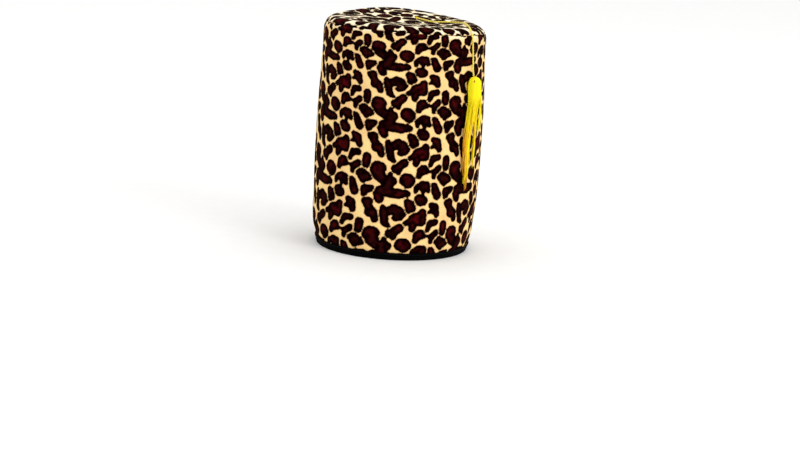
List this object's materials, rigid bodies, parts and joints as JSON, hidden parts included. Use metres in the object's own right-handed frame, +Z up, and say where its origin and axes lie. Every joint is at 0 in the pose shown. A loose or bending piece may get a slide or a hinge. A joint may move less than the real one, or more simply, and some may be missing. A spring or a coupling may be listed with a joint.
{
  "type": "fez",
  "caption": "Tall drum-shaped fez of printed pile cloth with a bound rim and a tassel on a thin cord; it stands on its rim.",
  "frame": {"origin": "on the surface that the hat stands on, under the middle of the crown", "axes": "+Z up along the crown; -Y to the front of the hat; the tassel hangs on the +X side, towards the front"},
  "size_m": [0.1933, 0.1944, 0.2604],
  "materials": {
    "printed_velour": "short pile printed with dark brown rosettes on a cream ground",
    "black_tape": "matte ribbed tape",
    "yellow_cord": "twisted cord with a slight sheen",
    "yellow_rayon": "silky threads"
  },
  "bodies": {
    "root": {"crown_side": "printed_velour", "crown_top": "printed_velour", "rim_binding": "black_tape", "tassel_cord": "yellow_cord", "tassel": "yellow_rayon"}
  },
  "joints": []
}
